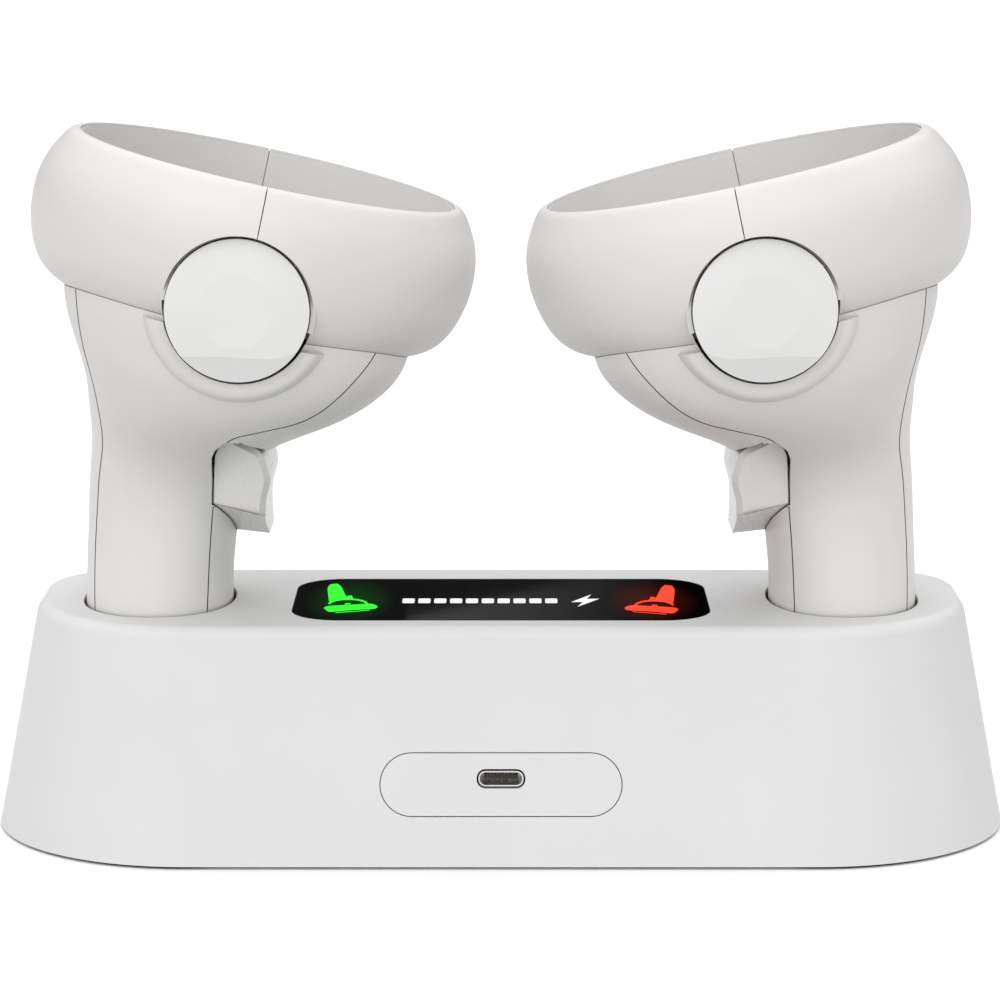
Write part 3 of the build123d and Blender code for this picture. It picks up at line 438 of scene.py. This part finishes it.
def stick_parts(hand, side):
    """The knurled grip band and the ribbed insert of a thumbstick's cap."""
    def place(x, y, height):
        return in_ring(STICK_U + x, STICK_Y + y, height, side)

    def knurl(radius, turn):
        return KNURL_DEPTH * max(0.0, math.cos(KNURL_COUNT * turn)) if radius > KNURL_FROM else 0.0

    mesh = bmesh.new()
    line = [(8.35, STICK_TOP - 0.75), (8.62, STICK_TOP - 0.85), (8.68, STICK_TOP - 1.5),
            (8.6, STICK_TOP - 2.15), (8.3, STICK_TOP - 2.25)]
    lathe(mesh, line, 264, place, knurl)
    mesh_piece(hand + "_stick_grip_band", mesh, hand + "_stick", "stick_grey")

    mesh = bmesh.new()
    line = [(0.01, STICK_TOP - 1.45)]
    for k in range(RIB_COUNT):
        r = RIB_START + RIB_PITCH * k
        base = STICK_TOP - 1.5 + 0.3 * (r / 5.6) ** 2
        line += [(r, base + 0.04), (r + 0.14, base + RIB_HEIGHT), (r + 0.28, base + RIB_HEIGHT),
                 (r + 0.42, base + 0.04)]
    line += [(5.4, STICK_TOP - 1.6), (0.01, STICK_TOP - 1.75)]
    lathe(mesh, line, 96, place)
    mesh_piece(hand + "_stick_ribs", mesh, hand + "_stick", "stick_grey")


def key_marks(hand, side):
    """A raised ring on the upper key and a raised dot on the lower one."""
    def ring_mark(name, body, at, outer, inner):
        u, y = at
        low, high = KEY_TOP - 0.05, KEY_TOP + 0.08
        mesh = bmesh.new()
        line = [(inner, low), (outer, low), (outer - 0.06, high), (inner + 0.06, high)]
        lathe(mesh, line, 64, lambda a, b, h: in_ring(u + a, y + b, h, side))
        mesh_piece(name, mesh, body, "stick_grey")

    ring_mark(hand + "_upper_key_mark", hand + "_button_upper_key", UPPER_KEY, 1.7, 1.25)
    ring_mark(hand + "_lower_key_mark", hand + "_button_lower_key", LOWER_KEY, 0.8, 0.02)


WELL_RADII, WELL_DEPTH, WELL_ARC, WELL_STEPS = (13.95, 14.9), (-48.2, -47.8), (-18.0, 172.0), 64


def trigger_well(hand, side):
    """The ledge inside a trigger's opening, along the ring's part of its edge."""
    mesh = bmesh.new()
    low, high = WELL_ARC
    rings = []
    for k in range(WELL_STEPS + 1):
        turn = math.radians(low + (high - low) * k / WELL_STEPS)
        corners = []
        for radius, depth in ((0, 0), (1, 0), (1, 1), (0, 1)):
            r = WELL_RADII[radius]
            x, z = TRIGGER_AXIS[0] + r * math.cos(turn), TRIGGER_AXIS[1] + r * math.sin(turn)
            point = Vector((x, WELL_DEPTH[depth], z)) * MM
            corners.append(mesh.verts.new(on_side(point, side)))
        rings.append(corners)
    for near, far in zip(rings, rings[1:]):
        for j in range(4):
            mesh.faces.new((near[j], far[j], far[(j + 1) % 4], near[(j + 1) % 4]))
    mesh.faces.new(rings[0])
    mesh.faces.new(rings[-1])
    mesh_piece(hand + "_trigger_well", mesh, hand + "_controller", "ring_band", flat=True)


for hand, side in HANDS:
    stick_parts(hand, side)
    key_marks(hand, side)
for hand, side in HANDS:
    trigger_well(hand, side)


# ---------------------------------------------------------------- floor, light and camera
def floor():
    mesh = bmesh.new()
    bmesh.ops.create_circle(mesh, cap_ends=True, segments=96, radius=40.0)
    data = bpy.data.meshes.new("floor")
    mesh.to_mesh(data)
    mesh.free()
    piece = bpy.data.objects.new("floor", data)
    bpy.context.scene.collection.objects.link(piece)
    mat, tree, shader, at = new_tree("floor_white")
    patch = noise(tree, at, 6.0, 3.0)
    tree.links.new(blend_colour(tree, patch, (0.93, 0.93, 0.93), (0.94, 0.94, 0.94)),
                   shader.inputs["Base Color"])
    tree.links.new(spread(tree, patch, 0.85, 0.9), shader.inputs["Roughness"])
    shader.inputs["Specular IOR Level"].default_value = 0.1
    data.materials.append(mat)
    piece.visible_diffuse = False


def sun(name, strength, angle, elevation, azimuth):
    """A broad soft light from far away. Azimuth 0 is the camera's side and 90 its right."""
    light = bpy.data.lights.new(name, "SUN")
    light.energy = strength
    light.angle = math.radians(angle)
    piece = bpy.data.objects.new(name, light)
    bpy.context.scene.collection.objects.link(piece)
    e, a = math.radians(elevation), math.radians(azimuth)
    back = Vector((math.sin(a) * math.cos(e), -math.cos(a) * math.cos(e), math.sin(e)))
    piece.rotation_mode = "QUATERNION"
    piece.rotation_quaternion = (-back).to_track_quat("-Z", "Y")


SKY_LIGHT = (0.52, 1.12)            # brightness from straight below and from straight above
SKY_SHINE = (0.02, 0.8)             # the same as reflections see it


def surroundings():
    """White to the camera, brighter from above than from below, dim low down in reflections."""
    world = bpy.data.worlds.new("studio")
    bpy.context.scene.world = world
    world.use_nodes = True
    tree = world.node_tree
    tree.nodes.clear()
    output = tree.nodes.new("ShaderNodeOutputWorld")
    path = tree.nodes.new("ShaderNodeLightPath")
    where = tree.nodes.new("ShaderNodeTexCoord")
    split = tree.nodes.new("ShaderNodeSeparateXYZ")
    tree.links.new(where.outputs["Generated"], split.inputs["Vector"])
    upward = split.outputs["Z"]
    even = tree.nodes.new("ShaderNodeBackground")
    tree.links.new(spread(tree, upward, *SKY_LIGHT, -1.0, 1.0), even.inputs["Strength"])
    mirror = tree.nodes.new("ShaderNodeBackground")
    tree.links.new(spread(tree, upward, *SKY_SHINE, 0.3, 0.75), mirror.inputs["Strength"])
    seen = tree.nodes.new("ShaderNodeBackground")
    seen.inputs["Strength"].default_value = 1.0
    for node in (even, mirror, seen):
        node.inputs["Color"].default_value = (1.0, 1.0, 1.0, 1.0)
    first = tree.nodes.new("ShaderNodeMixShader")
    tree.links.new(path.outputs["Is Glossy Ray"], first.inputs[0])
    tree.links.new(even.outputs[0], first.inputs[1])
    tree.links.new(mirror.outputs[0], first.inputs[2])
    second = tree.nodes.new("ShaderNodeMixShader")
    tree.links.new(path.outputs["Is Camera Ray"], second.inputs[0])
    tree.links.new(first.outputs[0], second.inputs[1])
    tree.links.new(seen.outputs[0], second.inputs[2])
    tree.links.new(second.outputs[0], output.inputs["Surface"])


CARD_Y = 0.5
CARD = [(-0.0333, 0.1616), (0.0324, 0.1463), (0.26, 0.093), (0.26, 0.34), (-0.0333, 0.34)]


def gloss_card():
    """A slanted card far behind, which only the window's polish picks up."""
    mesh = bmesh.new()
    mesh.faces.new([mesh.verts.new((x, CARD_Y, z)) for x, z in CARD])
    data = bpy.data.meshes.new("gloss_card")
    mesh.to_mesh(data)
    mesh.free()
    piece = bpy.data.objects.new("gloss_card", data)
    bpy.context.scene.collection.objects.link(piece)
    mat = bpy.data.materials.new("gloss_card")
    mat.use_nodes = True
    tree = mat.node_tree
    tree.nodes.clear()
    output = tree.nodes.new("ShaderNodeOutputMaterial")
    light = tree.nodes.new("ShaderNodeEmission")
    where = tree.nodes.new("ShaderNodeTexCoord")
    split = tree.nodes.new("ShaderNodeSeparateXYZ")
    tree.links.new(where.outputs["Object"], split.inputs["Vector"])
    fade = spread(tree, split.outputs["X"], 0.19, 0.0, -0.03, 0.06)
    tree.links.new(fade, light.inputs["Strength"])
    tree.links.new(light.outputs[0], output.inputs["Surface"])
    data.materials.append(mat)
    piece.visible_camera = False
    piece.visible_diffuse = False
    piece.visible_shadow = False


CAMERA_AT, CAMERA_DOWN = (0.0, -0.7137, 0.1988), 10.45     # metres, and degrees below level
CAMERA_LENS, CAMERA_SHIFT = 127.3, -0.001


def camera():
    data = bpy.data.cameras.new("camera")
    data.lens = CAMERA_LENS
    data.sensor_width = 36.0
    data.shift_x = CAMERA_SHIFT
    data.clip_start, data.clip_end = 0.01, 200.0
    piece = bpy.data.objects.new("camera", data)
    bpy.context.scene.collection.objects.link(piece)
    piece.location = CAMERA_AT
    piece.rotation_euler = (math.radians(90 - CAMERA_DOWN), 0.0, 0.0)
    bpy.context.scene.camera = piece


floor()
surroundings()
gloss_card()
sun("key", strength=1.2, angle=75, elevation=26, azimuth=-12)
sun("back", strength=0.85, angle=70, elevation=62, azimuth=170)
camera()
scene = bpy.context.scene
scene.view_settings.view_transform = "Standard"
scene.view_settings.look = "None"
